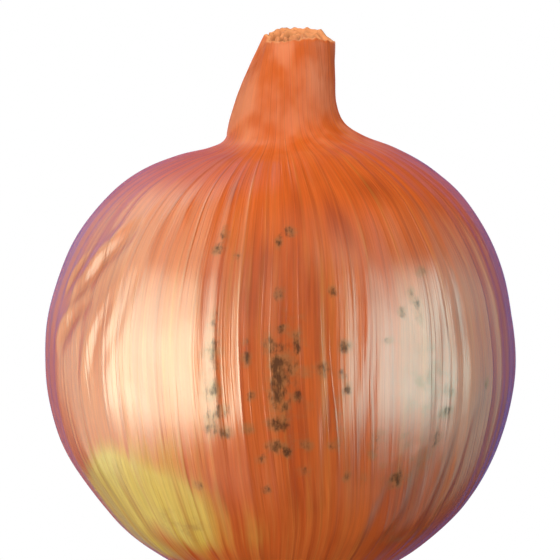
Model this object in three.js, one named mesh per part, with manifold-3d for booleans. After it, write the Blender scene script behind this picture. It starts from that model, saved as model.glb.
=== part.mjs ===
// A dry-skinned globe onion with a short cut neck, standing on its root plate.
// Millimetres, +Z up. The origin is the middle of the small flat spot that it stands on.
// Longitude 0 faces the front (-Y) and 90 degrees is the right-hand side (+X).
import * as THREE from "three";
import { mergeVertices } from "three/addons/utils/BufferGeometryUtils.js";
import Module from "manifold-3d";

const wasm = await Module();
wasm.setup();

const { clamp, degToRad, inverseLerp, lerp, radToDeg, smoothstep } = THREE.MathUtils;

// Driving dimensions
const globeRadius = 39.8;
const equatorHeight = 40.2;
const lipLatitude = degToRad(-70); // where the globe turns in under itself
const shoulderLatitude = degToRad(10); // where the globe gives way to the shoulders
const neckFootHeight = 36; // above the equator
const leftRimHeight = 53.9; // of the cut end of the neck, above the equator
const rightRimHeight = 52.95;
const neckEndLevel = 54.5; // to which the cut end settles inwards, above the equator
const neckEndHollow = 1.2; // how far its very middle lies below that
const lowLean = 0.7; // how far the low part of the globe stands to the right
const hollowRadius = 8.6; // the dimple in which the root plate sits
const hollowHeight = 3.6;

const ribCount = 48; // the main veins of the skin
const ribStray = 0.24; // the most that a vein strays, as a share of their spacing
const ribStrayBeat = 2.4;
const ribRise = 0.2;
const furrowDepth = 0.2;
const pleatDepth = 0.35; // of the folds in the dry neck
const neckTwist = 0.5; // how far those folds turn on their way up, in radians

const plateRadius = 8.2;
const plateThickness = 3.2;
const restRadius = 7; // the flat spot
const rootCount = 46;
const rootRadius = 0.55;
const rootTaper = 0.45; // the share of its radius that a root loses towards its tip
const rootSeed = 7;

// Half outlines above the shoulder latitude: distance from the axis, and height above the
// equator. The first and last points only guide the curve.
const rightOutline = [
  [39.8, 0], [39.2, 6.9], [37.8, 14.0], [34.7, 21.2], [30.5, 27.2], [25.2, 31.8], [19.5, 35.1],
  [14.4, 37.15], [10.9, 39.4], [9.5, 42.6], [9.4, 47.5], [9.3, rightRimHeight], [8.9, 56.8],
];
const leftOutline = [
  [39.8, 0], [39.2, 6.9], [37.3, 14.0], [33.9, 21.2], [29.3, 26.9], [23.8, 31.0], [17.6, 33.7],
  [12.2, 35.0], [9.2, 36.6], [8.0, 40.4], [5.9, 46.8], [2.3, leftRimHeight], [0.2, 57],
];

// The cut end round the neck: longitude in degrees, and height above the equator.
const rim = [
  [-180, 55.1], [-166, 54.5], [-150, 54.2], [-135, 54.0], [-90, 53.9], [-53, 53.0], [-30, 53.1],
  [0, 53.4], [24, 53.7], [47, 54.0], [63, 53.5], [90, 52.9], [108, 53.0], [116, 53.5], [120, 54.0],
  [126, 54.9], [140, 55.1], [180, 55.1],
];

// Veins that stand out more than the rest, each between two latitudes in degrees.
const boldVeins = [
  { vein: 3, from: -58, to: 44, rise: 0.4 },
  { vein: 5, from: -60, to: 0, rise: 0.3 },
  { vein: 7, from: -58, to: 4, rise: 0.4 },
  { vein: 40, from: -20, to: 32, rise: 0.35 },
  { vein: 41, from: 0, to: 44, rise: 0.4 },
  { vein: 43, from: 8, to: 50, rise: 0.3 },
];

// A turning random draw that always gives the same numbers.
function seededDraw(seed) {
  let state = seed;
  return () => {
    state = (state * 1103515245 + 12345) % 2147483648;
    return state / 2147483648;
  };
}

function splineOf(outline) {
  const curve = new THREE.SplineCurve(outline.map(([r, h]) => new THREE.Vector2(r, h)));
  const spans = outline.length - 1;
  return (t) => curve.getPoint((1 + t * (spans - 2)) / spans);
}

const rightSpline = splineOf(rightOutline);
const leftSpline = splineOf(leftOutline);
const neckEndCentre = (rightSpline(1).x - leftSpline(1).x) / 2;

// The underside, from the edge of the dimple down to the lip and out to the globe.
const lip = new THREE.Vector2(Math.cos(lipLatitude), Math.sin(lipLatitude)).multiplyScalar(globeRadius);
const lipHandle = 2.4;
const underside = new THREE.CubicBezierCurve(
  new THREE.Vector2(hollowRadius, hollowHeight - equatorHeight),
  new THREE.Vector2(hollowRadius + 1.8, hollowHeight - equatorHeight),
  new THREE.Vector2(lip.x + lipHandle * Math.sin(lipLatitude), lip.y - lipHandle * Math.cos(lipLatitude)),
  lip,
);

// The step along the outline, as a share of a stretch, over which its slope is taken.
const outlineStep = 0.01;

// Each ring of the skin is a stretch of the outline and how far along it the ring lies.
const rings = [
  ...steps("underside", 5, 0),
  ...steps("globe", 16, 1),
  ...steps("upper", 22, 1),
  ...steps("end", 7, 1),
];

function steps(stretch, count, first) {
  return Array.from({ length: count + 1 - first }, (_, i) => ({ stretch, t: (i + first) / count }));
}

// The outline at a longitude: a blend of the right and the left outlines.
function outlinePoint(stretch, t, rightShare) {
  if (stretch === "underside") return underside.getPoint(t);
  if (stretch === "globe") {
    const latitude = lerp(lipLatitude, shoulderLatitude, t);
    return new THREE.Vector2(Math.cos(latitude), Math.sin(latitude)).multiplyScalar(globeRadius);
  }
  return leftSpline(t).lerp(rightSpline(t), rightShare);
}

// The longitude of a vein: evenly shared, pushed about a little by a rule.
function ribLongitude(k) {
  return ((k + ribStray * Math.sin(ribStrayBeat * k)) * 2 * Math.PI) / ribCount;
}

// How far a vein stands out of the skin at a latitude.
function veinRise(k, latitude) {
  const bold = boldVeins.find(({ vein }) => vein === k);
  if (!bold) return ribRise;
  const along = clamp(inverseLerp(degToRad(bold.from), degToRad(bold.to), latitude), 0, 1);
  return ribRise + bold.rise * Math.sin(Math.PI * along) ** 2;
}

// The cut end of the neck: a rim, and dry leaf bases standing in layers inside it.
const neckEnd = [
  { share: 0.97, drop: -0.5 },
  { share: 0.9, drop: -0.7 },
  { share: 0.8, drop: 0.1 },
  { share: 0.7, drop: 1.7 },
  { share: 0.52, drop: 0.7 },
  { share: 0.36, drop: 1.9 },
  { share: 0.18, drop: 1.2 },
];

// The height of the cut end at a longitude, on straight lines between the places given.
function rimHeight(longitude) {
  const degrees = radToDeg(Math.atan2(Math.sin(longitude), Math.cos(longitude)));
  const next = Math.max(1, rim.findIndex(([place]) => place >= degrees));
  const [[before, low], [after, high]] = [rim[next - 1], rim[next]];
  return lerp(low, high, inverseLerp(before, after, degrees));
}

// Folds of the dry neck, deeper towards its end, turning a little as they rise.
function neckPleat(longitude, neckShare) {
  const turned = longitude + neckTwist * neckShare;
  const broad = 0.6 * Math.cos(5 * turned + 0.7) + 0.4 * Math.cos(8 * turned - 0.9);
  return pleatDepth * neckShare * broad;
}

// How far the low part of the globe stands to the right at a height above the equator.
function leanAt(height) {
  return lowLean * (1 - smoothstep(height, -26, -12)) * smoothstep(height, -38, -33);
}

// A point of the skin on a column, which is the crest of a vein or the furrow beside it.
function skinPoint(column, ring) {
  const k = column / 2;
  const onCrest = column % 2 === 0;
  const longitude = onCrest ? ribLongitude(k) : (ribLongitude(k - 0.5) + ribLongitude(k + 0.5)) / 2;
  const rightShare = (1 + Math.sin(longitude)) / 2;
  const inEnd = ring.stretch === "end";
  const endIndex = Math.round(ring.t * neckEnd.length) - 1;
  const stretch = inEnd ? "upper" : ring.stretch;
  const t = inEnd ? 1 : ring.t;
  const outline = outlinePoint(stretch, t, rightShare);
  const lean = leanAt(outline.y);
  const before = outlinePoint(stretch, t - outlineStep, rightShare);
  const along = outlinePoint(stretch, t + outlineStep, rightShare).sub(before);
  const normal = new THREE.Vector2(along.y, -along.x).normalize();
  const neckShare = smoothstep(outline.y, neckFootHeight, leftRimHeight);
  const crowding = Math.sqrt(outline.x / globeRadius);
  const relief = (onCrest ? veinRise(k, Math.atan2(outline.y, outline.x)) : -furrowDepth) * crowding;
  outline.addScaledVector(normal, relief + neckPleat(longitude, neckShare));
  const plainRim = lerp(leftRimHeight, rightRimHeight, rightShare);
  outline.y += (rimHeight(longitude) - plainRim) * neckShare ** 2;
  const across = lean + outline.x * Math.sin(longitude);
  const back = -outline.x * Math.cos(longitude);
  if (!inEnd) return [across, back, equatorHeight + outline.y];
  const { share, drop } = neckEnd[endIndex];
  const height = lerp(neckEndLevel, outline.y, share) - drop;
  return [lerp(neckEndCentre, across, share), back * share, equatorHeight + height];
}

// The skin as one closed surface: rings of points, and a point at each end of the axis.
function skinGeometry() {
  const columns = ribCount * 2;
  const positions = rings.flatMap((ring) =>
    Array.from({ length: columns }, (_, column) => skinPoint(column, ring)).flat(),
  );
  const bottom = rings.length * columns;
  const top = bottom + 1;
  positions.push(0, 0, hollowHeight);
  positions.push(neckEndCentre, 0, equatorHeight + neckEndLevel - neckEndHollow);
  const faces = [];
  for (let i = 0; i < columns; i++) {
    const next = (i + 1) % columns;
    faces.push(bottom, next, i);
    for (let j = 0; j + 1 < rings.length; j++) {
      const [a, b] = [j * columns + i, j * columns + next];
      faces.push(a, b, b + columns, a, b + columns, a + columns);
    }
    faces.push(top, bottom - columns + i, bottom - columns + next);
  }
  return closedGeometry(positions, faces);
}

function closedGeometry(positions, faces) {
  const geometry = new THREE.BufferGeometry();
  geometry.setAttribute("position", new THREE.Float32BufferAttribute(positions, 3));
  geometry.setIndex(faces);
  geometry.computeVertexNormals();
  return geometry;
}

// A slim tapered stalk along a curve, with a blunt broken tip.
function stalkGeometry(curve, radiusAt, sides, lengths) {
  const frames = curve.computeFrenetFrames(lengths, false);
  const positions = [];
  for (let j = 0; j <= lengths; j++) {
    const centre = curve.getPoint(j / lengths);
    for (let i = 0; i < sides; i++) {
      const turn = (i / sides) * 2 * Math.PI;
      const out = frames.normals[j].clone().multiplyScalar(Math.cos(turn));
      out.addScaledVector(frames.binormals[j], Math.sin(turn));
      positions.push(...centre.clone().addScaledVector(out, radiusAt(j / lengths)).toArray());
    }
  }
  const base = positions.length / 3;
  positions.push(...curve.getPoint(0).toArray(), ...curve.getPoint(1).toArray());
  const faces = [];
  for (let i = 0; i < sides; i++) {
    const next = (i + 1) % sides;
    faces.push(base, next, i);
    for (let j = 0; j < lengths; j++) {
      const [a, b] = [j * sides + i, j * sides + next];
      faces.push(a, b, b + sides, a, b + sides, a + sides);
    }
    faces.push(base + 1, lengths * sides + i, lengths * sides + next);
  }
  return closedGeometry(positions, faces);
}

function solidOf(geometry) {
  const bare = geometry.clone();
  bare.deleteAttribute("normal");
  bare.deleteAttribute("uv");
  const merged = mergeVertices(bare, 1e-4);
  return new wasm.Manifold(
    new wasm.Mesh({
      numProp: 3,
      vertProperties: merged.attributes.position.array,
      triVerts: new Uint32Array(merged.index.array),
    }),
  );
}

function geometryOf(solid) {
  const mesh = solid.getMesh();
  return closedGeometry(Array.from(mesh.vertProperties), Array.from(mesh.triVerts));
}

// The woody plate that the roots grow from, worn flat where the onion stands.
function plateGeometry() {
  const profile = [
    [0, 0], [restRadius, 0], [plateRadius - 0.2, 0.8], [plateRadius, 2.1],
    [plateRadius - 0.9, plateThickness], [0, plateThickness],
  ];
  const turned = new THREE.LatheGeometry(profile.map(([r, z]) => new THREE.Vector2(r, z)), 28);
  return turned.rotateX(Math.PI / 2);
}

// One dry root: out of the plate, along under the onion, and down or up at its broken tip.
function rootGeometry(k, draw) {
  const bearing = ((k + 0.7 * (draw() - 0.5)) * 2 * Math.PI) / rootCount;
  const reach = plateRadius + 2.2 + 4.6 * draw();
  const sway = 2.6 * (draw() - 0.5);
  const start = 0.8 + 0.7 * draw();
  const tip = 0.75 + (reach > 12.4 ? 0.9 * draw() : 0.2 * draw());
  const at = (distance, aside, height) =>
    new THREE.Vector3(
      distance * Math.sin(bearing) + aside * Math.cos(bearing),
      -distance * Math.cos(bearing) + aside * Math.sin(bearing),
      height,
    );
  const curve = new THREE.CubicBezierCurve3(
    at(plateRadius - 2.2, 0, start),
    at(plateRadius + 1.2, 0, start),
    at(reach - 2, 0.5 * sway, 0.62),
    at(reach, sway, tip),
  );
  return stalkGeometry(curve, (t) => rootRadius * (1 - rootTaper * t), 5, 3);
}

function rootTuftGeometry() {
  const draw = seededDraw(rootSeed);
  let tuft = solidOf(plateGeometry());
  for (let k = 0; k < rootCount; k++) tuft = tuft.add(solidOf(rootGeometry(k, draw)));
  return geometryOf(tuft);
}

const drySkin = new THREE.MeshStandardMaterial({ color: 0xc9662f, roughness: 0.42, metalness: 0 });
const dryRoot = new THREE.MeshStandardMaterial({ color: 0xa98a5e, roughness: 0.9, metalness: 0 });

const bulb = new THREE.Mesh(skinGeometry(), drySkin);
bulb.name = "bulb";

const rootTuft = new THREE.Mesh(rootTuftGeometry(), dryRoot);
rootTuft.name = "root_tuft";

const onion = new THREE.Group();
onion.add(bulb, rootTuft);

export default onion;
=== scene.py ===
"""A dry globe onion: its skin, cut neck and roots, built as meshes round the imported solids."""

import math

import bpy
import numpy as np
from bpy.props import FloatProperty, FloatVectorProperty, IntProperty, PointerProperty
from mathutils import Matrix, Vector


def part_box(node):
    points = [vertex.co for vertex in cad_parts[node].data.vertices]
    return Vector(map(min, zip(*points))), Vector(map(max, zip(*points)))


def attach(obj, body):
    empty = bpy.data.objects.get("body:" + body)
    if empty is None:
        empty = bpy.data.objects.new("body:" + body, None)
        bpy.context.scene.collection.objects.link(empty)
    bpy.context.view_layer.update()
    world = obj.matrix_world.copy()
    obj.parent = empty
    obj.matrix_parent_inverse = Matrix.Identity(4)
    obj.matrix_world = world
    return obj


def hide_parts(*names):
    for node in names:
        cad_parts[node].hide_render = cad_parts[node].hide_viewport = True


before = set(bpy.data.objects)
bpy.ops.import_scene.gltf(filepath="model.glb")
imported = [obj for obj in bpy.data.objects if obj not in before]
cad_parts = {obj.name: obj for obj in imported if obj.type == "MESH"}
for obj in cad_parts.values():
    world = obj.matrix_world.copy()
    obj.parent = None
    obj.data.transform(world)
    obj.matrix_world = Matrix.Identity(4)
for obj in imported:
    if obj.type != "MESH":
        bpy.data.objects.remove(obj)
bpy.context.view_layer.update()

bl_info = {
    "name": "Dry onion",
    "version": (1, 0, 0),
    "blender": (4, 5, 0),
    "location": "3D View > Sidebar > Onion",
    "description": "Builds a dry globe onion with its veined skin, cut neck and trimmed roots",
    "category": "Add Mesh",
}

MM = 0.001
GLOBE_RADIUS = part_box("bulb")[1].x - 0.2 * MM
PLATE_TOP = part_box("root_tuft")[1].z

# Half outlines of the shoulders and neck, as in the solid: millimetres from the axis and above
# the equator. The first and last points only guide the curve.
RIGHT_OUTLINE = (
    (39.8, 0), (39.2, 6.9), (37.8, 14.0), (34.7, 21.2), (30.5, 27.2), (25.2, 31.8), (19.5, 35.1),
    (14.4, 37.15), (10.9, 39.4), (9.5, 42.6), (9.4, 47.5), (9.3, 52.95), (8.9, 56.8),
)
LEFT_OUTLINE = (
    (39.8, 0), (39.2, 6.9), (37.3, 14.0), (33.9, 21.2), (29.3, 26.9), (23.8, 31.0), (17.6, 33.7),
    (12.2, 35.0), (9.2, 36.6), (8.0, 40.4), (5.9, 46.8), (2.3, 53.9), (0.2, 57),
)
# The cut end round the neck: longitude in degrees, and millimetres above the equator.
RIM = (
    (-180, 55.1), (-166, 54.5), (-150, 54.2), (-135, 54.0), (-90, 53.9), (-53, 53.0), (-30, 53.1),
    (0, 53.4), (24, 53.7), (47, 54.0), (63, 53.5), (90, 52.9), (108, 53.0), (116, 53.5), (120, 54.0),
    (126, 54.9), (140, 55.1), (180, 55.1),
)
LIP_LATITUDE = math.radians(-70)
SHOULDER_LATITUDE = math.radians(10)
LIP_HANDLE = 2.4 * MM
HOLLOW_HANDLE = 1.8 * MM
HOLLOW_RADIUS = 8.6 * MM
HOLLOW_HEIGHT = 3.6 * MM
NECK_FOOT_HEIGHT = 36 * MM
LEFT_RIM_HEIGHT = 53.9 * MM
LOW_LEAN = 0.7 * MM

# The dry leaf's edge over the left shoulder: its height above the equator, how far it climbs
# towards the front, and how far it stands out.
LAP_HEIGHT = 37.4 * MM
LAP_CLIMB = 4.4 * MM
LAP_RISE = 0.3 * MM

# The cut end: its middle above the left rim, and the depth of the gaps in it.
CUT_RISE = 0.6 * MM
CUT_DEPTH = 2.6 * MM

# The fine mesh of the skin.
COLUMNS = 420
UNDERSIDE_RINGS = 14
GLOBE_RINGS = 88
UPPER_RINGS = 100
END_RINGS = 30

# How far the grain runs on from ring to ring over the cut end, in globe radii.
END_STEP = 0.05

# How far the main veins stray from even spacing, as a share of it, as in the solid.
RIB_STRAY = 0.24

# The swells: how many waves, and the shortest and longest.
SWELL_WAVES = 26
SWELL_LENGTHS = (11 * MM, 30 * MM)

# The meshes of the roots and their plate, and how many times the roots go round it.
PLATE_COLUMNS = 120
ROOT_RINGS = 13
ROOT_SIDES = 6
ROOT_TURNS = 3

# Seeds of the random draws.
VEIN_SEED = 11
SWELL_SEED = 5
ROOT_SEED = 23

# The photo's frame, in pixels, and how the camera stands to it.
PHOTO_SIDE = 560
GLOBE_MIDDLE = (280.5, 355)
GLOBE_SPAN = 470
CAMERA_ELEVATION = math.radians(8)
CAMERA_DISTANCE = 0.6
SENSOR_WIDTH = 36

# The studio's floor: its side, and how far it lies below the onion.
FLOOR_SIDE = 6
FLOOR_DROP = 0.05 * MM

# Folds of the skin: a way upward over the globe in the photo's pixels, then the fold's width and
# height in millimetres, and how deep the groove on its right is beside the ridge on its left.
FOLDS = (
    (((68, 309), (84, 282), (102, 258), (119, 241), (144, 218)), 1.7, 0.5, 1),
    (((66, 298), (75, 274), (90, 252)), 0.9, 0.22, 1),
    (((59, 352), (65, 328), (77, 309), (92, 293)), 1.5, 0.44, 1),
    (((84, 408), (88, 365), (94, 338), (105, 308), (121, 280)), 1.5, 0.3, 0.4),
    (((104, 376), (114, 345), (126, 313), (142, 270)), 1.3, -0.18, 0),
    (((148, 263), (158, 240), (171, 213)), 1.1, 0.08, 1),
    (((186, 228), (190, 212), (195, 192)), 0.8, 0.05, 1),
    (((346, 506), (360, 425), (368, 367), (371, 317), (367, 275), (361, 222)), 0.7, 0.1, 1),
    (((352, 503), (366, 420), (374, 367), (377, 317), (373, 275), (367, 222)), 0.6, 0.07, 1),
    (((428, 432), (441, 370), (443, 317), (438, 270), (426, 230), (409, 202)), 1.1, 0.07, 0.6),
    (((402, 536), (424, 508), (444, 468), (458, 420)), 1.2, 0.2, 1),
    (((428, 516), (450, 486), (466, 446), (477, 400)), 1.1, 0.14, 1),
    (((370, 544), (396, 514), (409, 484), (421, 446)), 1.3, 0.26, 1),
    (((350, 548), (370, 514), (385, 486), (396, 456)), 1.1, 0.2, 1),
    (((480, 350), (476, 300), (462, 250)), 1.0, 0.07, 0.6),
    (((322, 470), (320, 440), (319, 412)), 0.6, 0.06, 0.5),
    (((240, 468), (237, 440), (236, 410)), 0.6, 0.06, 0.5),
)

# The same on the far side, with the ways as longitude and latitude in degrees.
FAR_FOLDS = (
    (((118, -42), (114, -8), (119, 24), (128, 46)), 1.0, 0.16, 1),
    (((131, -50), (126, -20), (128, 8)), 0.9, 0.12, 0.8),
    (((152, -10), (148, 18), (155, 44)), 1.1, 0.14, 1),
    (((-172, -48), (-176, -18), (-170, 14), (-166, 38)), 0.9, 0.14, 1),
    (((-153, -14), (-148, 10), (-143, 36)), 1.0, 0.14, 1),
    (((-143, -24), (-139, -2), (-134, 22)), 0.9, 0.11, 1),
    (((-118, -36), (-112, -6), (-116, 20)), 1.0, -0.14, 0),
    (((84, -52), (88, -24), (86, 6)), 0.9, 0.12, 0.6),
)

# How far a fold's ridge and its groove stand from its way, as a share of its width, and the
# height in millimetres from which a fold's groove gets its full painted shade.
FOLD_HALF = 0.6
FULL_FOLD = 0.3

# How quickly a speck, streak or patch fades out from its middle.
MARK_FADE = 0.7

# Specks and blots of mould: place and half size in the photo's pixels, and strength.
MOULD = (
    (282, 328, 4, 4, 1.1), (272, 346, 8, 9, 0.95), (284, 352, 7, 9, 0.8), (297, 344, 5, 12, 1.0),
    (279, 364, 8, 9, 1.3), (280, 379, 9, 10, 1.3), (277, 396, 8, 11, 1.15), (292, 371, 8, 8, 0.95),
    (296, 397, 8, 8, 0.9), (286, 404, 8, 7, 0.9), (279, 424, 11, 8, 1.0), (276, 446, 10, 7, 0.9),
    (288, 452, 6, 6, 0.8), (308, 444, 7, 6, 0.8), (246, 358, 5, 7, 1.0), (245, 343, 4, 6, 0.8),
    (324, 370, 9, 8, 0.75), (344, 347, 7, 7, 0.85), (343, 374, 5, 7, 0.75), (348, 390, 7, 7, 0.7),
    (213, 350, 9, 15, 0.8), (212, 366, 9, 9, 0.75), (215, 390, 9, 9, 0.9), (223, 411, 7, 8, 1.0),
    (212, 414, 8, 9, 0.75), (213, 430, 9, 8, 0.8), (226, 433, 6, 7, 1.0), (216, 322, 7, 14, 0.7),
    (198, 485, 6, 6, 0.7), (263, 458, 6, 6, 0.75), (266, 489, 6, 6, 0.75), (347, 476, 6, 7, 0.6),
    (335, 444, 7, 7, 0.75), (248, 430, 7, 7, 0.7), (401, 313, 6, 6, 0.8), (388, 340, 5, 5, 0.75),
    (416, 308, 7, 15, 0.68), (410, 293, 6, 5, 0.75), (420, 272, 8, 7, 0.6), (451, 390, 12, 11, 0.55),
    (446, 412, 11, 8, 0.75), (487, 383, 5, 7, 0.7), (226, 234, 5, 10, 0.75), (220, 250, 8, 7, 0.8),
    (238, 258, 5, 5, 0.7), (280, 243, 4, 8, 0.9), (289, 233, 7, 7, 0.8), (279, 295, 5, 7, 1.0),
    (333, 293, 5, 7, 0.75), (252, 397, 6, 6, 0.8), (372, 452, 7, 7, 0.6), (404, 436, 7, 6, 0.55),
    (360, 478, 7, 9, 0.5), (396, 478, 9, 10, 0.95), (378, 440, 9, 12, 0.65), (436, 440, 10, 14, 0.7),
    (304, 470, 7, 7, 0.6), (288, 376, 26, 66, 0.5), (281, 371, 12, 26, 1.0), (413, 462, 46, 36, 0.42),
    (430, 385, 44, 70, 0.38), (211, 392, 13, 50, 0.56), (148, 424, 6, 13, 0.45), (137, 408, 9, 20, 0.42),
    (172, 526, 44, 24, 0.42), (340, 418, 8, 34, 0.45), (404, 534, 52, 26, 0.4),
)

# The same on the far side, by longitude and latitude in degrees.
FAR_MOULD = (
    (151, 13, 7, 9, 0.9), (154, 4, 8, 8, 1.0), (147, -3, 6, 8, 0.85), (157, -9, 6, 6, 0.8),
    (-166, 24, 6, 7, 0.85), (-171, 15, 5, 8, 0.75), (-121, -13, 7, 9, 0.95), (-125, -21, 6, 7, 0.85),
    (101, 19, 5, 8, 0.8), (97, -18, 7, 6, 0.8), (178, -30, 7, 7, 0.85), (-140, -35, 6, 6, 0.8),
    (-96, 22, 5, 6, 0.8), (152, 3, 20, 44, 0.45), (-123, -16, 14, 30, 0.4),
)

# Streaks of deeper red-brown along the veins: place, half size in the photo's pixels, strength.
STAINS_AND_SHADE = (
    (329, 418, 5, 18, 1), (299, 487, 7, 20, 1), (252, 300, 6, 22, 1), (312, 300, 9, 30, 1),
    (264, 262, 6, 18, 1), (331, 218, 7, 30, 1), (345, 232, 5, 20, 1), (246, 352, 5, 10, 1),
    (372, 190, 14, 14, 1), (440, 170, 20, 18, 1), (460, 310, 9, 40, 1), (400, 495, 16, 16, 1),
    (300, 425, 9, 34, 1), (222, 500, 6, 20, 1), (356, 446, 5, 26, 1), (484, 390, 9, 26, 1),
    (316, 340, 6, 24, 1), (285, 310, 6, 24, 1), (236, 190, 5, 20, 1), (297, 210, 5, 30, 1),
    # The broad ovals at (428, 452) and (404, 536) are painted shade, darkening the lower right, streaked
    # like the stains.
    (300, 372, 44, 72, 0.4), (428, 452, 50, 72, 0.6), (404, 536, 56, 40, 1),
)

# The same on the far side, by longitude and latitude in degrees.
FAR_STAINS = (
    (121, 18, 8, 36, 1), (166, 4, 10, 44, 1), (-150, -18, 8, 34, 1), (-105, 14, 7, 28, 1),
    (-176, 38, 16, 22, 0.9), (139, -38, 26, 20, 0.9), (-134, 33, 12, 18, 0.8), (-112, -40, 20, 18, 0.7),
)

# The pale green patch where the outer skin is thin, as ovals written like the streaks.
PATCH = (
    (146, 492, 48, 30, 1), (178, 508, 28, 30, 0.9), (116, 472, 26, 20, 1), (190, 536, 22, 24, 0.85),
    (118, 504, 32, 28, 1), (104, 496, 26, 30, 1), (132, 532, 26, 22, 1), (160, 550, 24, 16, 0.8),
    (248, 538, 26, 34, 0.32), (160, 448, 56, 18, 0.26),
)

WARM = (0.7, 1, 0.8)
COOL = (0.52, 1, 0.93)
VIOLET = (0.2, 0.5, 0.85)
WHITE = (1, 1, 1)

# Lights round the middle of the globe: azimuth and elevation in degrees and distance in metres,
# then width and height, brightness and colour. The ones with soft edges add how far the lower,
# upper and side edges fade, as shares of the light's size, and the first one its roll in degrees.
LIGHTS = (
    ("key_gloss", (-58.5, 2.5, 0.6), (0.92, 1.0), 13.2, WARM, (0.45, 0.35, 0.28), 5),
    ("side_gloss", (-102, -2, 0.6), (0.84, 1.3), 2.9, WARM, (0.4, 0.4, 0.4)),
    ("fill_gloss", (62.2, 0, 0.6), (0.9, 1.04), 8.5, COOL, (0.38, 0.42, 0.32)),
    ("side_fill_gloss", (107, -4, 0.6), (0.7, 1.3), 1.6, COOL, (0.4, 0.4, 0.4)),
    ("high_gloss", (-94, 46, 0.6), (1.25, 0.7), 2.7, WARM, (0.4, 0.4, 0.3)),
    ("high_fill_gloss", (56, 42, 0.6), (0.6, 0.6), 1.3, COOL, (0.4, 0.4, 0.4)),
    ("low_gloss", (-98, -44, 0.6), (0.9, 0.6), 0.9, WARM, (0.4, 0.4, 0.3)),
    ("low_fill_gloss", (80, -44, 0.6), (0.9, 0.6), 0.5, COOL, (0.4, 0.4, 0.3)),
    ("rim_gloss", (-146, 36, 0.7), (0.56, 1.5), 0.7, VIOLET, (0.3, 0.3, 0.3)),
    ("front_matt", (-25, 34, 0.8), (0.6, 0.6), 3.5, WHITE),
    ("low_matt", (-44, -48, 0.8), (0.6, 0.5), 4.2, WHITE),
    ("key_matt", (-60, 22, 0.7), (0.4, 0.4), 0.55, WHITE),
    ("side_matt", (78, 15, 0.7), (0.4, 0.4), 0.65, WHITE),
    ("fill_matt", (42, 58, 0.7), (0.5, 0.5), 2.1, WHITE),
    ("back_matt", (180, 15, 1.2), (0.6, 0.8), 6, WHITE),
)


def linear(code):
    """A colour written as 0xRRGGBB, as the linear numbers that Blender mixes."""
    parts = [(code >> shift & 255) / 255 for shift in (16, 8, 0)]
    return tuple(c / 12.92 if c <= 0.04045 else ((c + 0.055) / 1.055) ** 2.4 for c in parts)


def smoothstep(low, high, value):
    """0 below low, 1 above high, and a smooth rise between."""
    share = np.clip((value - low) / (high - low), 0, 1)
    return share * share * (3 - 2 * share)


def turned(degrees):
    """An angle brought to between -180 and 180 degrees."""
    return (degrees + 180) % 360 - 180


def colour_property(name, description, code):
    return FloatVectorProperty(
        name=name, description=description, subtype="COLOR", size=3, min=0, max=1, default=linear(code)
    )


def length_property(name, description, default):
    return FloatProperty(
        name=name, description=description, default=default, min=0, unit="LENGTH", subtype="DISTANCE"
    )


class OnionSizes(bpy.types.PropertyGroup):
    """The sizes of the onion that a user would change."""

    rib_rise: length_property("Rib rise", "How far a main vein stands out of the skin", 0.06 * MM)
    globe_radius: length_property("Globe radius", "Radius of the globe between two veins", GLOBE_RADIUS)
    equator_height: length_property("Equator height", "Height of the widest place", 40.2 * MM)
    rib_count: IntProperty(name="Main veins", description="Main veins round the globe", default=48, min=8)
    vein_count: IntProperty(name="Fine veins", description="Fine veins round the globe", default=104, min=8)
    vein_rise: length_property("Vein rise", "Greatest height of a fine vein", 0.05 * MM)
    swell: length_property("Swell", "How far the skin strays from an even globe", 0.16 * MM)
    pleat_depth: length_property("Pleat depth", "Depth of the folds in the dry neck", 0.35 * MM)
    root_count: IntProperty(name="Roots", description="Trimmed roots", default=150, min=1)
    root_radius: length_property("Root radius", "Radius of a root where it leaves the plate", 0.36 * MM)
    plate_radius: length_property("Plate radius", "Radius of the woody root plate", 8.2 * MM)
    rest_radius: length_property("Rest radius", "Radius of the flat spot that the onion stands on", 7 * MM)


class OnionColours(bpy.types.PropertyGroup):
    """The colours of the onion that a user would change."""

    skin: colour_property("Skin", "Dry skin, the deeper bands", 0xC2541A)
    skin_light: colour_property("Skin light", "Dry skin, the lighter bands", 0xD0692A)
    skin_top: colour_property("Skin top", "Dry skin towards the neck", 0xE8661C)
    # The vein colour is also that of the painted shade in the folds' grooves.
    vein: colour_property("Vein", "The lines along the veins", 0x9A3A12)
    # The stain colour is also that of the painted shade on the lower right.
    stain: colour_property("Stain", "Red-brown streaks", 0xA23A10)
    patch: colour_property("Patch", "The patch of thin skin", 0xD8BA4C)
    patch_deep: colour_property("Patch streaks", "Streaks in the patch of thin skin", 0xC6943A)
    mould: colour_property("Mould", "Specks of mould", 0x4A2A18)
    mould_edge: colour_property("Mould edge", "Thin mould round the specks", 0x94683C)
    # The neck's light colour is also that of the painted light above the lap.
    neck_light: colour_property("Neck light", "Dry neck, the lighter blotches", 0xF09468)
    neck_dark: colour_property("Neck dark", "Dry neck, the deeper blotches", 0xD25E22)
    cut: colour_property("Cut", "The cut end of the neck", 0xF2A066)
    # Painted shade in the gaps of the cut end, darkest where they are deepest.
    pit: colour_property("Cut gaps", "The gaps between the leaf bases in the cut end", 0x8A4420)
    root: colour_property("Root", "Dry roots", 0xB99A6C)
    root_dark: colour_property("Root dark", "The root plate and the foot of the roots", 0x6E5234)


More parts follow.
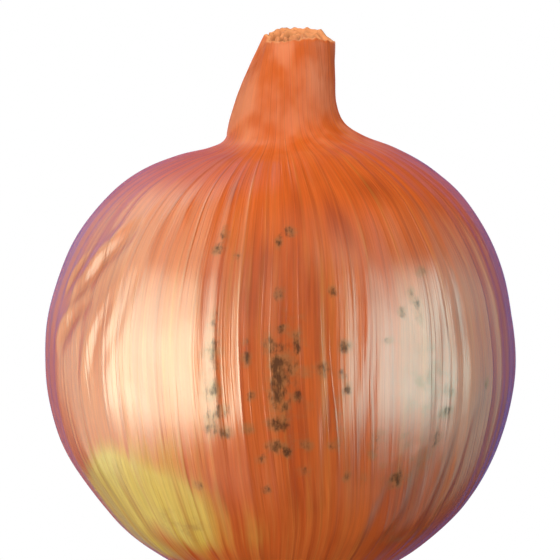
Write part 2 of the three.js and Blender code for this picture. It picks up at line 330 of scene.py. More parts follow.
def spline(outline, share):
    """Points on a Catmull-Rom curve through all but the end points of an outline."""
    points = np.array(outline, float)
    place = 1 + share * (len(points) - 3)
    index = np.clip(np.floor(place).astype(int), 1, len(points) - 3)
    t = (place - index)[:, None]
    before, start, end, after = (points[index + step] for step in (-1, 0, 1, 2))
    leave = (end - before) / 2
    arrive = (after - start) / 2
    cubic = 2 * start - 2 * end + leave + arrive
    square = -3 * start + 3 * end - 2 * leave - arrive
    return cubic * t**3 + square * t**2 + leave * t + start


def bezier(points, share):
    """Points on a cubic Bezier curve."""
    t = share[:, None]
    a, b, c, d = (np.array(point) for point in points)
    return a * (1 - t) ** 3 + 3 * b * t * (1 - t) ** 2 + 3 * c * t**2 * (1 - t) + d * t**3


def even_shares(curve, count):
    """Shares of a curve at the ends of count steps of equal length, without the start."""
    dense = np.linspace(0, 1, 2000)
    points = curve(dense)
    lengths = np.concatenate(([0], np.cumsum(np.hypot(*np.diff(points, axis=0).T))))
    wanted = np.linspace(0, lengths[-1], count + 1)[1:]
    return np.interp(wanted, lengths, dense)


def outline_rings(sizes):
    """Left and right half outlines from the dimple to the rim of the neck, a row for each ring."""
    radius = sizes.globe_radius
    lip = radius * np.array((math.cos(LIP_LATITUDE), math.sin(LIP_LATITUDE)))
    hollow = (HOLLOW_RADIUS, HOLLOW_HEIGHT - sizes.equator_height)
    underside = (
        hollow,
        (hollow[0] + HOLLOW_HANDLE, hollow[1]),
        lip + LIP_HANDLE * np.array((math.sin(LIP_LATITUDE), -math.cos(LIP_LATITUDE))),
        lip,
    )
    under = bezier(underside, np.linspace(0, 1, UNDERSIDE_RINGS + 1))
    latitude = np.linspace(LIP_LATITUDE, SHOULDER_LATITUDE, GLOBE_RINGS + 1)[1:]
    globe = radius * np.column_stack((np.cos(latitude), np.sin(latitude)))
    share = even_shares(lambda t: spline(RIGHT_OUTLINE, t) + spline(LEFT_OUTLINE, t), UPPER_RINGS)
    left = np.concatenate((under, globe, spline(LEFT_OUTLINE, share) * MM))
    right = np.concatenate((under, globe, spline(RIGHT_OUTLINE, share) * MM))
    return left, right


def globe_place(x, y):
    """Longitude and latitude, in degrees, of the place on the globe seen at a pixel of the photo."""
    reach = CAMERA_DISTANCE / GLOBE_RADIUS
    slope = 2 / GLOBE_SPAN / math.sqrt(reach**2 - 1)
    across = (x - GLOBE_MIDDLE[0]) * slope
    up = (GLOBE_MIDDLE[1] - y) * slope
    spread = 1 + across**2 + up**2
    far = (reach - math.sqrt(max(0, reach**2 - spread * (reach**2 - 1)))) / spread
    toward = reach - far
    front = toward * math.cos(CAMERA_ELEVATION) - up * far * math.sin(CAMERA_ELEVATION)
    height = toward * math.sin(CAMERA_ELEVATION) + up * far * math.cos(CAMERA_ELEVATION)
    return math.degrees(math.atan2(across * far, front)), math.degrees(math.asin(min(1, max(-1, height))))


def heading(longitude, latitude):
    """Unit vectors from the middle of the globe towards longitudes and latitudes in degrees."""
    longitude, latitude = np.broadcast_arrays(np.radians(longitude), np.radians(latitude))
    level = np.cos(latitude)
    return np.stack((np.sin(longitude) * level, -np.cos(longitude) * level, np.sin(latitude)), -1)


class Skin:
    """The skin's surface as arrays with a row for each ring and a column for each longitude."""

    def __init__(self, sizes):
        self.sizes = sizes
        left, right = outline_rings(sizes)
        self.degrees = turned(np.arange(COLUMNS) * 360 / COLUMNS)
        longitude = np.radians(self.degrees)
        share = ((1 + np.sin(longitude)) / 2)[None, :]
        self.radius = left[:, :1] + (right[:, :1] - left[:, :1]) * share
        self.height = left[:, 1:] + (right[:, 1:] - left[:, 1:]) * share
        self.longitude = np.broadcast_to(longitude, self.radius.shape)
        self.latitude = np.degrees(np.arctan2(self.height, self.radius))
        self.aim = heading(self.degrees, self.latitude)
        run = np.gradient(self.radius, axis=0)
        climb = np.gradient(self.height, axis=0)
        length = np.hypot(run, climb)
        self.out = climb / length
        self.up = -run / length
        self.along = np.cumsum(length, axis=0)
        self.neck = smoothstep(NECK_FOOT_HEIGHT, LEFT_RIM_HEIGHT, self.height)

    def away(self, place):
        """Metres across and up the skin from a longitude and latitude, near that place."""
        longitude, latitude = place
        scale = math.radians(self.sizes.globe_radius)
        across = turned(self.degrees - longitude) * np.cos(np.radians(self.latitude)) * scale
        return across, (self.latitude - latitude) * scale

    def oval(self, place, half_width, half_height):
        """1 at the middle of an oval with half sizes in the photo's pixels, fading out past its edge."""
        across, up = self.away(place)
        pixel = 2 * self.sizes.globe_radius / GLOBE_SPAN
        return np.exp(-MARK_FADE * ((across / half_width) ** 2 + (up / half_height) ** 2) / pixel**2)

    def marks(self, seen, far=()):
        """Each mark in the photo, placed by its pixels, and each on the far side, at its strength."""
        ovals = [(globe_place(x, y), *shape) for x, y, *shape in seen]
        ovals += [((longitude, latitude), *shape) for longitude, latitude, *shape in far]
        return [strength * self.oval(*oval) for *oval, strength in ovals]

    def fold(self, places, width, height, groove):
        """The relief of one fold along longitudes and latitudes, in metres, and the painted shade in its
        groove.
        """
        ends = (2 * places[0] - places[1], 2 * places[-1] - places[-2])
        way = spline((ends[0], *places, ends[1]), np.linspace(0, 1, 6 * len(places)))
        way = heading(way[:, 0], way[:, 1])
        middle = way[len(way) // 2]
        reach = max(np.linalg.norm(way - middle, axis=1)) + 5 * width * MM / self.sizes.globe_radius
        near = np.linalg.norm(self.aim - middle, axis=-1) < reach
        aim = self.aim[near]
        nearest = np.full(len(aim), np.inf)
        side = np.zeros(len(aim))
        progress = np.zeros(len(aim))
        for step, (start, end) in enumerate(zip(way, way[1:])):
            ahead = end - start
            t = np.clip((aim - start) @ ahead / (ahead @ ahead), 0, 1)
            gap = aim - start - t[:, None] * ahead
            distance = np.linalg.norm(gap, axis=1)
            closer = distance < nearest
            right = np.sign(gap @ np.cross(ahead, start))
            nearest = np.where(closer, distance, nearest)
            side = np.where(closer, right * distance, side)
            progress = np.where(closer, (step + t) / (len(way) - 1), progress)
        side = side * self.sizes.globe_radius / (width * MM)
        swelling = np.sin(np.pi * progress) ** 0.7
        furrow = groove * np.exp(-((side - FOLD_HALF) ** 2))
        relief = np.zeros(self.radius.shape)
        relief[near] = height * MM * swelling * (np.exp(-((side + FOLD_HALF) ** 2)) - furrow)
        # Painted shade: the groove is darkened, fully from folds of FULL_FOLD height.
        crease = np.zeros(self.radius.shape)
        crease[near] = min(1, height / FULL_FOLD) * swelling * furrow
        return relief, crease

    def ribs(self):
        """The main veins: crests at the same longitudes as the solid's, with furrows between."""
        count = self.sizes.rib_count
        numbers = np.arange(-2, count + 3)
        crests = (numbers + RIB_STRAY * np.sin(2.4 * (numbers % count))) * 360 / count
        phase = np.interp(self.degrees % 360, crests, numbers)
        return self.sizes.rib_rise * np.cos(2 * np.pi * phase)

    def drift(self):
        """How far, in degrees, the veins stray from the meridians."""
        lat = np.radians(self.latitude)
        lon = self.longitude
        return 1.3 * np.sin(2.1 * lat + 1.3 * np.sin(3 * lon)) + 0.6 * np.sin(5.3 * lat + 2 * lon + 1)

    def veins(self):
        """The fine veins, each of its own strength and width."""
        draw = np.random.default_rng(VEIN_SEED)
        count = self.sizes.vein_count
        relief = np.zeros(self.radius.shape)
        place = self.degrees + self.drift()
        for k in range(count):
            middle = (k + draw.uniform(-0.32, 0.32)) * 360 / count
            width = draw.uniform(0.8, 1.2)
            rise = self.sizes.vein_rise * draw.uniform(-0.5, 1)
            beat, start = draw.uniform(1, 3.2), draw.uniform(0, 6.3)
            strength = 0.62 + 0.38 * np.sin(beat * np.radians(self.latitude) + start)
            relief += rise * strength * np.exp(-((turned(place - middle) / width) ** 2))
        return relief

    def swells(self):
        """Broad low swells that keep the globe from being an even one."""
        draw = np.random.default_rng(SWELL_SEED)
        front, right = np.cos(self.longitude), np.sin(self.longitude)
        spot = np.stack((self.radius * right, -self.radius * front, self.height))
        relief = np.zeros(self.radius.shape)
        for _ in range(SWELL_WAVES):
            way = draw.normal(size=3)
            way /= np.linalg.norm(way) * draw.uniform(*SWELL_LENGTHS) / (2 * np.pi)
            relief += np.sin(np.tensordot(way, spot, 1) + draw.uniform(0, 6.3))
        return self.sizes.swell * relief / 6

    def pleats(self):
        """Folds of the dry neck, with finer ones between."""
        turn = self.longitude + 0.5 * self.neck
        broad = 0.6 * np.cos(5 * turn + 0.7) + 0.4 * np.cos(8 * turn - 0.9)
        fine = 0.1 * np.cos(19 * turn + 2 * self.neck) + 0.06 * np.cos(31 * turn - 0.5)
        return self.sizes.pleat_depth * self.neck * (broad + fine)

    def lap(self):
        """How far the neck's dry leaf laps over the shoulder on the left: 1 above its edge, where painted
        light also goes.
        """
        edge = LAP_HEIGHT + LAP_CLIMB * smoothstep(-85, -25, self.degrees)
        side = smoothstep(-110, -80, self.degrees) * (1 - smoothstep(-40, -22, self.degrees))
        above = self.height - edge
        return side * smoothstep(-0.5 * MM, 0.5 * MM, above) * (1 - smoothstep(2 * MM, 11 * MM, above))

    def relief(self):
        """How far the skin stands out of its outline."""
        crowding = np.sqrt(self.radius / self.sizes.globe_radius)
        calm = 1 - 0.8 * self.neck
        relief = (self.ribs() * (1 - 0.55 * self.neck) + self.veins()) * crowding
        relief = relief + self.swells() * calm * smoothstep(-75, -55, self.latitude) + self.pleats()
        relief = relief + LAP_RISE * self.lap()
        folds = [([np.array(globe_place(x, y)) for x, y in way], *shape) for way, *shape in FOLDS]
        folds += [([np.array(place) for place in way], *shape) for way, *shape in FAR_FOLDS]
        # The painted shade in the folds' grooves, for the material.
        self.crease = np.zeros(self.radius.shape)
        for fold in folds:
            rise, crease = self.fold(*fold)
            relief += rise
            self.crease = np.maximum(self.crease, crease)
        return relief

    def surface(self):
        """The points of the skin from the dimple to the rim of the neck."""
        relief = self.relief()
        radius = self.radius + self.out * relief
        front, right = np.cos(self.longitude), np.sin(self.longitude)
        lift = np.interp(self.degrees, *np.transpose(RIM)) * MM - self.height[-1]
        torn = 0.09 * np.sin(23 * self.longitude + 1) + 0.07 * np.sin(41 * self.longitude)
        height = self.height + self.up * relief + lift * self.neck**2 + torn * MM * self.neck**9
        lean = smoothstep(-12 * MM, -26 * MM, self.height) * smoothstep(-38 * MM, -33 * MM, self.height)
        height += self.sizes.equator_height
        return np.stack((radius * right + LOW_LEAN * lean, -radius * front, height), axis=-1)

    def grain(self, rows):
        """A vector for each point, with X and Y round the globe by the veins and Z up the skin."""
        extra = (rows - len(self.along), COLUMNS)
        bearing = np.radians(self.degrees + self.drift())
        bearing = np.concatenate((bearing, np.broadcast_to(bearing[-1], extra)))
        along = self.along / self.sizes.globe_radius
        last = along[-1, 0] + END_STEP * np.arange(1, extra[0] + 1)
        along = np.concatenate((along, np.broadcast_to(last[:, None], extra)))
        grain = np.stack((np.cos(bearing), np.sin(bearing), along), -1).reshape(-1, 3)
        return np.concatenate((grain, grain[:1], grain[-1:]))


def neck_layers(share, longitude):
    """How far below the rim the cut end of the neck lies: dry leaf bases with gaps between."""
    depth = np.full(share.shape, CUT_DEPTH)
    layers = ((0.93, 0.1, 0.0, 1), (0.7, 0.085, 0.55, 2), (0.47, 0.08, 0.9, 3), (0.22, 0.13, 0.6, 2))
    for number, (middle, half, drop, waves) in enumerate(layers):
        ring = middle + 0.035 * np.sin(waves * longitude + 1.9 * number) * (number > 0)
        torn = 0.22 * np.sin(7 * longitude + 2.3 * number) + 0.14 * np.sin(17 * longitude + number)
        top = (drop + torn * (0.4 + 0.6 * (number > 0))) * MM
        wall = smoothstep(half, 0.45 * half, np.abs(share - ring))
        depth = np.minimum(depth, CUT_DEPTH + (top - CUT_DEPTH) * wall)
    return depth


def skin_points(skin):
    """All rings of the skin and the cut end, how far each point is cut, and the painted shade by how deep
    it lies in a gap.
    """
    rings = skin.surface()
    rim = rings[-1]
    middle = np.array(((RIGHT_OUTLINE[-2][0] - LEFT_OUTLINE[-2][0]) / 2 * MM, 0))
    share = 1 - np.linspace(0, 1, END_RINGS + 1)[1:-1] ** 0.9
    share = np.broadcast_to(share[:, None], (len(share), COLUMNS))
    across = middle + (rim[None, :, :2] - middle) * share[..., None]
    level = skin.sizes.equator_height + LEFT_RIM_HEIGHT + CUT_RISE
    settled = level + (rim[None, :, 2] - level) * share**0.7
    down = neck_layers(share, np.broadcast_to(skin.longitude[0], share.shape))
    end = np.concatenate((across, (settled - down)[..., None]), axis=-1)
    points = np.concatenate((rings, end))
    uncut = np.zeros(rings.shape[:2])
    cut = np.concatenate((uncut, np.ones(share.shape)))
    cut[len(rings) - 1] = 0.6
    pit = np.concatenate((uncut, smoothstep(0.6 * MM, 2.2 * MM, down)))
    return points, cut, pit


def closed_tube(points, bottom, top):
    """Vertices and faces of rings of points closed at both ends by a fan to one point each."""
    rows, columns = points.shape[:2]
    vertices = np.concatenate((points.reshape(-1, 3), (bottom, top)))
    row = np.arange(rows - 1)[:, None] * columns
    column = np.arange(columns)[None, :]
    after = (column + 1) % columns
    quads = np.stack((row + column, row + after, row + columns + after, row + columns + column), -1)
    last = (rows - 1) * columns
    low, high = rows * columns, rows * columns + 1
    fans = [(low, (i + 1) % columns, i) for i in range(columns)]
    fans += [(high, last + i, last + (i + 1) % columns) for i in range(columns)]
    return vertices, quads.reshape(-1, 4).tolist() + fans


def smooth_mesh(name, vertices, faces):
    mesh = bpy.data.meshes.new(name)
    mesh.from_pydata(vertices.tolist(), [], faces)
    mesh.shade_smooth()
    return mesh


def paint(mesh, name, values):
    """Stores a number or a vector for each vertex, for the material to read."""
    kind, key = ("FLOAT", "value") if np.ndim(values) == 1 else ("FLOAT_VECTOR", "vector")
    layer = mesh.attributes.new(name, kind, "POINT")
    layer.data.foreach_set(key, np.asarray(values, np.float32).ravel())


def whole(values, end_value, count):
    """Values of the skin's rings, carried on over the cut end and the two fan points."""
    end = np.full((count - len(values), values.shape[1]), float(end_value))
    return np.concatenate((np.concatenate((values, end)).ravel(), (values[0, 0], end_value)))


class Nodes:
    """The nodes of a material, light or world. A call makes a node and gives its output."""

    def __init__(self, owner, shader="Principled BSDF"):
        owner.use_nodes = True
        self.tree = owner.node_tree
        self.shader = self.tree.nodes[shader]

    def feed(self, socket, value):
        """A socket's value, or the link into it."""
        if isinstance(value, bpy.types.NodeSocket):
            self.tree.links.new(value, socket)
        elif hasattr(socket.default_value, "__len__") and not hasattr(value, "__len__"):
            socket.default_value = [value] * len(socket.default_value)
        else:
            socket.default_value = value

    def make(self, kind, inputs=(), output=0, **settings):
        """A node of any kind, with its inputs and its output by name or number."""
        node = self.tree.nodes.new(kind)
        for key, value in settings.items():
            setattr(node, key, value)
        for key, value in dict(inputs).items():
            self.feed(node.inputs[key], value)
        return node.outputs[output]

    def read(self, name, output="Fac"):
        """A value painted on the mesh."""
        return self.make("ShaderNodeAttribute", output=output, attribute_name=name)

    def place(self, output="Object"):
        """Where a point is on the thing itself, or another texture coordinate."""
        return self.make("ShaderNodeTexCoord", output=output)

    def split(self, vector):
        """The parts of a vector, named X, Y and Z."""
        return self.make("ShaderNodeSeparateXYZ", {0: vector}).node.outputs

    def stretch(self, vector, scale):
        return self.make("ShaderNodeVectorMath", {0: vector, 1: scale}, operation="MULTIPLY")

    def noise(self, vector, scale=1.0, detail=2.0, roughness=0.5):
        inputs = {"Vector": vector, "Scale": scale, "Detail": detail, "Roughness": roughness}
        return self.make("ShaderNodeTexNoise", inputs, "Fac")

    def maths(self, operation, *values, clamp=False):
        inputs = dict(enumerate(values))
        return self.make("ShaderNodeMath", inputs, operation=operation, use_clamp=clamp)

    def total(self, *parts):
        """The sum of values, each times its own number."""
        result = 0
        for value, number in parts:
            result = self.maths("MULTIPLY_ADD", value, number, result)
        return result

    def roughen(self, value, noise, reach):
        """A value moved up and down by a noise that runs from 0 to 1."""
        return self.maths("MULTIPLY_ADD", self.maths("SUBTRACT", noise, 0.5), reach, value)

    def between(self, value, low, high, start=0.0, end=1.0, curve="SMOOTHSTEP"):
        """A value brought smoothly from low..high to start..end."""
        inputs = {"Value": value, "From Min": low, "From Max": high, "To Min": start, "To Max": end}
        return self.make("ShaderNodeMapRange", inputs, "Result", interpolation_type=curve)

    def blend(self, share, first, second):
        """The first colour at a share of 0, and the second at 1."""
        first, second = ((*c, 1) if isinstance(c, tuple) else c for c in (first, second))
        return self.make("ShaderNodeMix", {0: share, 6: first, 7: second}, 2, data_type="RGBA")

    def wash(self, colour, share, strength, tint):
        """A colour with a tint over it, where a share says so."""
        return self.blend(self.maths("MULTIPLY", share, strength), colour, tint)

    def shade(self, colour, brightness):
        inputs = {0: colour, "Scale": brightness}
        return self.make("ShaderNodeVectorMath", inputs, operation="SCALE")

    def line_set(self, bearing, count, stray, bend, fade):
        """Thin lines down the globe, unevenly spaced and fading in and out."""
        phase = self.total((stray, bend), (bearing, count))
        crest = self.between(self.maths("COSINE", phase), 0.75, 1.0)
        return self.maths("MULTIPLY", crest, self.between(fade, 0.3, 0.65, 0.25, 1.0))

    def bump(self, height, distance):
        return self.make("ShaderNodeBump", {"Height": height, "Distance": distance}, "Normal")

    def set(self, **sockets):
        """Shader sockets by name, with spaces written as low lines."""
        for key, value in sockets.items():
            self.feed(self.shader.inputs[key.replace("_", " ")], value)


def tints(colours):
    """The colours of the onion by their names."""
    return {key: tuple(getattr(colours, key)) for key in OnionColours.__annotations__}


def skin_material(tint):
    """Dry papery skin: bands and veins along the grain, stains, mould and a thin green patch."""
    material = bpy.data.materials.new("onion_skin")
    nodes = Nodes(material)
    grain = nodes.read("grain", "Vector")
    place = nodes.place()
    neck = nodes.read("neck")
    crease = nodes.read("crease")
    mould = nodes.read("mould")

    bands = nodes.noise(nodes.stretch(grain, (6, 6, 0.5)))
    stripes = nodes.noise(nodes.stretch(grain, (26, 26, 0.9)), detail=3, roughness=0.6)
    fibres = nodes.noise(nodes.stretch(grain, (100, 100, 4)), roughness=0.6)
    clouds = nodes.noise(place, scale=70, detail=3)
    crinkle = nodes.noise(place, scale=420, detail=3, roughness=0.6)

    parts = nodes.split(grain)
    bearing = nodes.maths("ARCTAN2", parts["Y"], parts["X"])
    stray = nodes.noise(nodes.stretch(grain, (5, 5, 0.6)))
    fade = nodes.noise(nodes.stretch(grain, (9, 9, 1.6)), detail=1)
    lines = nodes.line_set(bearing, 66, stray, 9, fade)
    threads = nodes.line_set(bearing, 178, stray, 21, fade)

    tone = nodes.total((bands, 0.4), (stripes, 0.6))
    colour = nodes.blend(nodes.between(tone, 0.36, 0.62), tint["skin"], tint["skin_light"])
    colour = nodes.wash(colour, nodes.read("top"), 0.7, tint["skin_top"])
    colour = nodes.blend(nodes.between(clouds, 0.52, 0.75, 0, 0.25), colour, tint["stain"])
    colour = nodes.wash(colour, lines, 0.34, tint["vein"])
    colour = nodes.wash(colour, threads, 0.16, tint["vein"])
    # The stain mask also holds painted shade on the lower right, streaked like the stains.
    streak = nodes.maths("MULTIPLY", nodes.read("stain"), nodes.between(stripes, 0.34, 0.58))
    colour = nodes.wash(colour, streak, 0.7, tint["stain"])

    ragged = nodes.roughen(nodes.roughen(nodes.read("patch"), stripes, 1.6), clouds, 0.6)
    patch = nodes.blend(nodes.between(stripes, 0.4, 0.66), tint["patch"], tint["patch_deep"])
    colour = nodes.blend(nodes.between(ragged, 0.05, 1.1, 0, 0.9), colour, patch)
    # Painted shade: the folds' grooves darkened towards the vein colour.
    colour = nodes.wash(colour, crease, 0.42, tint["vein"])
    colour = nodes.shade(colour, nodes.between(fibres, 0.25, 0.75, 0.9, 1.08))

    crumple = nodes.noise(nodes.stretch(place, (1, 1, 0.6)), scale=230)
    dry = nodes.blend(nodes.between(crumple, 0.32, 0.68), tint["neck_dark"], tint["neck_light"])
    colour = nodes.wash(colour, neck, 0.5, dry)
    # Painted light: the neck's left side above the lap lightened towards the neck's light colour.
    colour = nodes.wash(colour, nodes.read("lap"), 0.6, tint["neck_light"])

    specks = nodes.noise(nodes.stretch(place, (1, 1, 0.55)), scale=1250, detail=4, roughness=0.62)
    grown = nodes.roughen(nodes.roughen(mould, specks, 3.2), stripes, 1.6)
    faint = nodes.between(nodes.roughen(mould, crinkle, 1.6), 0.15, 1.0, 0, 0.66)
    haze = nodes.maths("MULTIPLY", nodes.between(mould, 0.08, 0.35), faint)
    strong = nodes.between(grown, 0.3, 1.45, 0, 0.86)
    dark = nodes.maths("MULTIPLY", nodes.between(mould, 0.3, 0.62), strong)
    colour = nodes.blend(haze, colour, tint["mould_edge"])
    colour = nodes.blend(dark, colour, tint["mould"])

    # Painted shade: the cut end darkens into its gaps, by their depth.
    flesh = nodes.blend(nodes.read("pit"), tint["cut"], tint["pit"])
    colour = nodes.blend(nodes.between(nodes.read("cut"), 0.3, 0.9), colour, flesh)

    relief = nodes.total((fibres, 0.1), (stripes, 0.3), (lines, 0.12), (threads, 0.05), (crinkle, 0.05))
    normal = nodes.bump(relief, 0.25 * MM)
    dull = nodes.total((dark, 0.6), (haze, 0.35), (crease, 0.4))
    dull = nodes.maths("MAXIMUM", dull, nodes.maths("MULTIPLY", neck, 0.86))
    gloss = nodes.maths("SUBTRACT", nodes.between(clouds, 0.3, 0.7, 1.0, 0.82), dull, clamp=True)
    nodes.set(
        Base_Color=colour,
        Roughness=nodes.between(fibres, 0.3, 0.7, 0.45, 0.58),
        Normal=normal,
        Specular_IOR_Level=0.04,
        Coat_Weight=gloss,
        Coat_Roughness=0.21,
        Coat_IOR=1.6,
        Coat_Normal=normal,
    )
    return material


def root_material(tint):
    """Dry fibrous roots: straw colour, darker at the foot, with fine bark."""
    material = bpy.data.materials.new("onion_root")
    nodes = Nodes(material)
    place = nodes.place()
    patches = nodes.between(nodes.noise(place, scale=350, detail=4, roughness=0.65), 0.35, 0.65)
    bark = nodes.noise(place, scale=1500, detail=3, roughness=0.6)
    share = nodes.maths("MULTIPLY_ADD", patches, 0.5, nodes.read("foot"), clamp=True)
    nodes.set(
        Base_Color=nodes.blend(share, tint["root"], tint["root_dark"]),
        Roughness=nodes.between(bark, 0.3, 0.7, 0.75, 0.95),
        Normal=nodes.bump(bark, 0.15 * MM),
        Specular_IOR_Level=0.3,
    )
    return material


def add_piece(name, mesh, material, node):
    """Adds a finished piece in the place of a solid."""
    piece = bpy.data.objects.new(name, mesh)
    bpy.context.scene.collection.objects.link(piece)
    mesh.materials.append(material)
    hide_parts(node)
    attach(piece, "root")


class OnionMakeBulb(bpy.types.Operator):
    """Build the globe, shoulders and cut neck with their skin."""

    bl_idname = "onion.make_bulb"
    bl_label = "Bulb"

    def execute(self, context):
        sizes = context.scene.onion_sizes
        skin = Skin(sizes)
        points, cut, pit = skin_points(skin)
        rows = len(points)
        bottom = (0, 0, HOLLOW_HEIGHT)
        top = points[-1].mean(0) - (0, 0, 0.1 * MM)
        mesh = smooth_mesh("onion_bulb", *closed_tube(points, bottom, top))
        paint(mesh, "cut", np.concatenate((cut.ravel(), (0, 1))))
        paint(mesh, "pit", np.concatenate((pit.ravel(), (0, 1))))
        paint(mesh, "grain", skin.grain(rows))
        painted = {
            "top": (smoothstep(20, 56, skin.latitude), 1),
            "neck": (smoothstep(33 * MM, 40 * MM, skin.height), 1),
            "lap": (skin.lap(), 0),
            "crease": (skin.crease, 0),
            "mould": (np.max(skin.marks(MOULD, FAR_MOULD), axis=0), 0),
            "stain": (np.clip(sum(skin.marks(STAINS_AND_SHADE, FAR_STAINS)), 0, 1), 0),
            "patch": (np.clip(sum(skin.marks(PATCH)), 0, 1), 0),
        }
        for name, (values, end_value) in painted.items():
            paint(mesh, name, whole(values, end_value, rows))
        material = skin_material(tints(context.scene.onion_colours))
        add_piece("onion_bulb", mesh, material, "bulb")
        return {"FINISHED"}


def tube(points, radii, sides):
    """Vertices and faces of a closed tube along points, with a radius at each."""
    way = np.gradient(points, axis=0)
    way /= np.linalg.norm(way, axis=1)[:, None]
    aside = np.cross(way, (0, 0, 1))
    aside /= np.linalg.norm(aside, axis=1)[:, None]
    over = np.cross(aside, way)
    turn = np.arange(sides) * 2 * np.pi / sides
    ring = np.cos(turn)[None, :, None] * aside[:, None] + np.sin(turn)[None, :, None] * over[:, None]
    return closed_tube(points[:, None] + ring * radii[:, None, None], points[0], points[-1])


def root_way(bearing, reach, sizes, draw):
    """The way of one root: out of the plate, down to the surface and along it, a little crooked."""
    t = np.linspace(0, 1, ROOT_RINGS)
    start = sizes.plate_radius - draw.uniform(1.5, 4.5) * MM
    low = (0.4 + 0.9 * draw.uniform()) * MM
    high = draw.uniform(0.9, 2.0) * MM
    sway = draw.uniform(-2.2, 2.2) * MM
    kink = draw.uniform(-0.5, 0.5, 2) * MM
    distance = start + (reach - start) * t
    aside = sway * t**2 + kink[0] * np.sin(7 * t) + kink[1] * np.sin(13 * t) * t
    height = high + (low - high) * smoothstep(0, 0.7, t) + draw.uniform(-0.2, 0.9) * MM * t**4
    out = np.array((math.sin(bearing), -math.cos(bearing)))
    across = np.array((math.cos(bearing), math.sin(bearing)))
    flat = distance[:, None] * out + aside[:, None] * across
    return np.column_stack((flat, height))


def plate_points(sizes):
    """The woody plate as rings of points, with a worn flat spot and a rough side."""
    rest, edge = sizes.rest_radius, sizes.plate_radius
    profile = (
        (0.4 * rest, 0), (0.8 * rest, 0), (rest, 0), (rest + 0.5 * MM, 0.25 * MM),
        (edge - 0.2 * MM, 0.8 * MM), (edge, 1.4 * MM), (edge, 2.1 * MM), (edge - 0.4 * MM, 2.8 * MM),
        (edge - 0.9 * MM, 3.2 * MM), (0.5 * edge, 3.2 * MM),
    )
    turn = np.arange(PLATE_COLUMNS) * 2 * np.pi / PLATE_COLUMNS
    rough = 0.12 * np.sin(23 * turn) + 0.1 * np.sin(37 * turn + 1) + 0.08 * np.sin(11 * turn + 2)
    rings = []
    for radius, height in profile:
        wide = radius + rough * MM * (0.25 * MM < height < 3 * MM)
        level = np.full(PLATE_COLUMNS, height)
        rings.append(np.column_stack((wide * np.sin(turn), -wide * np.cos(turn), level)))
    return np.array(rings)


class OnionMakeRoots(bpy.types.Operator):
    """Build the woody root plate and its trimmed dry roots."""

    bl_idname = "onion.make_roots"
    bl_label = "Roots"

    def execute(self, context):
        sizes = context.scene.onion_sizes
        draw = np.random.default_rng(ROOT_SEED)
        plate, faces = closed_tube(plate_points(sizes), (0, 0, 0), (0, 0, PLATE_TOP))
        vertices = [plate]
        foot = [np.full(len(plate), 0.85)]
        for k in range(sizes.root_count):
            bearing = (k + draw.uniform(-0.45, 0.45)) * 2 * math.pi / sizes.root_count * ROOT_TURNS
            reach = sizes.plate_radius + draw.uniform(1.0, 6.4) * MM
            points = root_way(bearing, reach, sizes, draw)
            radii = sizes.root_radius * draw.uniform(0.6, 1.15) * np.linspace(1, 0.5, ROOT_RINGS)
            body, sides = tube(points, radii, ROOT_SIDES)
            offset = sum(map(len, vertices))
            faces += [tuple(offset + i for i in face) for face in sides]
            vertices.append(body)
            shade = np.repeat(np.linspace(0.7, 0, ROOT_RINGS), ROOT_SIDES)
            foot.append(np.concatenate((shade, (0.7, 0))))
        mesh = smooth_mesh("onion_roots", np.concatenate(vertices), faces)
        paint(mesh, "foot", np.concatenate(foot))
        material = root_material(tints(context.scene.onion_colours))
        add_piece("onion_roots", mesh, material, "root_tuft")
        return {"FINISHED"}


def aim(thing, target):
    """Turns a camera or light, which look along their own -Z, towards a point."""
    way = np.array(target) - np.array(thing.location)
    flat = math.hypot(way[0], way[1])
    thing.rotation_euler = (math.atan2(flat, -way[2]), 0, math.atan2(-way[0], way[1]))


def soft_edges(data, low, high, sides):
    """Lets an area light fade towards its lower, upper and side edges, by shares of its size."""
    nodes = Nodes(data, "Emission")
    spot = nodes.split(nodes.make("ShaderNodeNewGeometry", output="Parametric"))
    strength = 1
    for axis, start, end in (("X", 0, sides), ("X", 1, 1 - sides), ("Y", 0, high), ("Y", 1, 1 - low)):
        strength = nodes.maths("MULTIPLY", strength, nodes.between(spot[axis], start, end))
    nodes.set(Strength=strength)


def softbox(name, place, size, brightness, colour, target, edges=None, roll=0):
    """A rectangular light. One with soft edges shows in gloss alone, and the others in matt alone."""
    azimuth, elevation, distance = place
    width, height = size
    data = bpy.data.lights.new(name, "AREA")
    data.shape = "RECTANGLE"
    data.size, data.size_y = width, height
    data.energy = brightness * math.pi * width * height
    data.color = colour
    if edges:
        soft_edges(data, *edges)
    box = bpy.data.objects.new(name, data)
    box.location = target + heading(azimuth, elevation) * distance
    aim(box, target)
    box.rotation_euler.rotate_axis("Z", math.radians(roll))
    box.visible_camera = False
    box.visible_diffuse = not edges
    box.visible_glossy = bool(edges)
    bpy.context.scene.collection.objects.link(box)


def studio_world():
    """White to the camera, a soft white dome for matt shading and a dim violet one for gloss."""
    world = bpy.data.worlds.new("studio")
    nodes = Nodes(world, "Background")
    ray = nodes.make("ShaderNodeLightPath").node.outputs
    way = nodes.split(nodes.place("Generated"))
    rise = nodes.between(way["Z"], -0.7, 0.9, curve="LINEAR")
    dome = nodes.blend(rise, (0.2, 0.19, 0.2), (0.26, 0.25, 0.26))
    behind = nodes.maths("MULTIPLY_ADD", nodes.maths("ABSOLUTE", way["Z"]), -0.6, way["Y"])
    violet = nodes.blend(nodes.between(behind, 0.2, 0.95), (0.01, 0.008, 0.012), (0.1, 0.14, 0.5))
    lit = nodes.blend(ray["Is Glossy Ray"], dome, violet)
    nodes.set(Color=nodes.blend(ray["Is Camera Ray"], lit, WHITE))
    bpy.context.scene.world = world


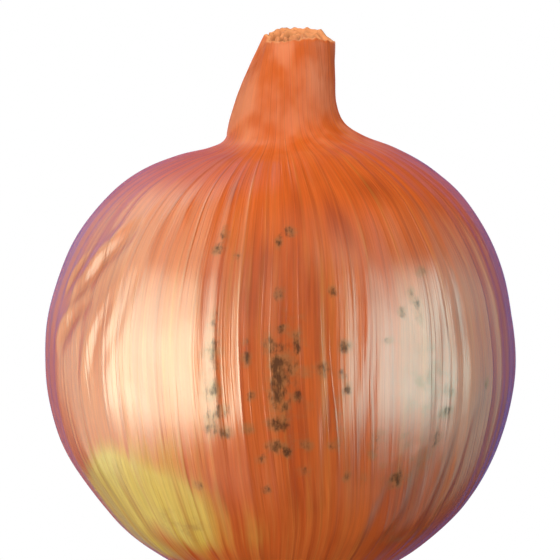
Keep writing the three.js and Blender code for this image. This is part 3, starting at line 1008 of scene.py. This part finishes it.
def studio_floor():
    """A pale floor: matt near the onion, where its shadow falls, and plain white further out."""
    material = bpy.data.materials.new("studio_floor")
    nodes = Nodes(material)
    nodes.set(Base_Color=(0.9, 0.9, 0.9, 1), Roughness=1, Specular_IOR_Level=0)
    glow = nodes.make("ShaderNodeEmission")
    away = nodes.make("ShaderNodeVectorMath", {0: nodes.place()}, "Value", operation="LENGTH")
    share = nodes.between(away, 15 * MM, 34 * MM, 0.3)
    mix = nodes.make("ShaderNodeMixShader", {0: share, 1: nodes.shader.outputs[0], 2: glow})
    nodes.feed(nodes.tree.nodes["Material Output"].inputs["Surface"], mix)
    mesh = bpy.data.meshes.new("studio_floor")
    side = FLOOR_SIDE / 2
    corners = [(-side, -side, 0), (side, -side, 0), (side, side, 0), (-side, side, 0)]
    mesh.from_pydata(corners, [], [(0, 1, 2, 3)])
    mesh.materials.append(material)
    floor = bpy.data.objects.new("studio_floor", mesh)
    floor.location.z = -FLOOR_DROP
    floor.visible_glossy = False
    floor.visible_diffuse = False
    floor.visible_shadow = False
    bpy.context.scene.collection.objects.link(floor)


class OnionMakeStage(bpy.types.Operator):
    """Set up the camera, the soft lights and the pale floor."""

    bl_idname = "onion.make_stage"
    bl_label = "Stage"

    def execute(self, context):
        sizes = context.scene.onion_sizes
        middle = np.array((0, 0, sizes.equator_height))
        pixels = GLOBE_SPAN / 2 / math.tan(math.asin(sizes.globe_radius / CAMERA_DISTANCE))
        data = bpy.data.cameras.new("camera")
        data.sensor_width = SENSOR_WIDTH
        data.lens = pixels / PHOTO_SIDE * SENSOR_WIDTH
        camera = bpy.data.objects.new("camera", data)
        back = np.array((0, -math.cos(CAMERA_ELEVATION), math.sin(CAMERA_ELEVATION)))
        camera.location = middle + back * CAMERA_DISTANCE
        rise = CAMERA_ELEVATION - math.atan2(GLOBE_MIDDLE[1] - PHOTO_SIDE / 2, pixels)
        ahead = np.array((0, math.cos(rise), -math.sin(rise)))
        aim(camera, np.array(camera.location) + ahead)
        context.scene.collection.objects.link(camera)
        context.scene.camera = camera
        context.scene.view_settings.view_transform = "Standard"
        for name, place, size, brightness, colour, *soft in LIGHTS:
            softbox(name, place, size, brightness, colour, middle, *soft)
        studio_world()
        studio_floor()
        return {"FINISHED"}


class OnionPanel(bpy.types.Panel):
    """The onion's sizes, colours and making steps."""

    bl_idname = "VIEW3D_PT_onion"
    bl_label = "Onion"
    bl_space_type = "VIEW_3D"
    bl_region_type = "UI"
    bl_category = "Onion"

    def draw(self, context):
        for group, settings in ((OnionSizes, "onion_sizes"), (OnionColours, "onion_colours")):
            box = self.layout.box()
            for key in group.__annotations__:
                box.prop(getattr(context.scene, settings), key)
        for operator in (OnionMakeBulb, OnionMakeRoots, OnionMakeStage):
            self.layout.operator(operator.bl_idname)


CLASSES = (OnionSizes, OnionColours, OnionMakeBulb, OnionMakeRoots, OnionMakeStage, OnionPanel)


def register():
    for cls in CLASSES:
        bpy.utils.register_class(cls)
    bpy.types.Scene.onion_sizes = PointerProperty(type=OnionSizes)
    bpy.types.Scene.onion_colours = PointerProperty(type=OnionColours)


def unregister():
    del bpy.types.Scene.onion_colours
    del bpy.types.Scene.onion_sizes
    for cls in reversed(CLASSES):
        bpy.utils.unregister_class(cls)


def main():
    """Builds the onion and its stage."""
    register()
    bpy.ops.onion.make_stage()
    bpy.ops.onion.make_bulb()
    bpy.ops.onion.make_roots()


if __name__ == "__main__":
    main()
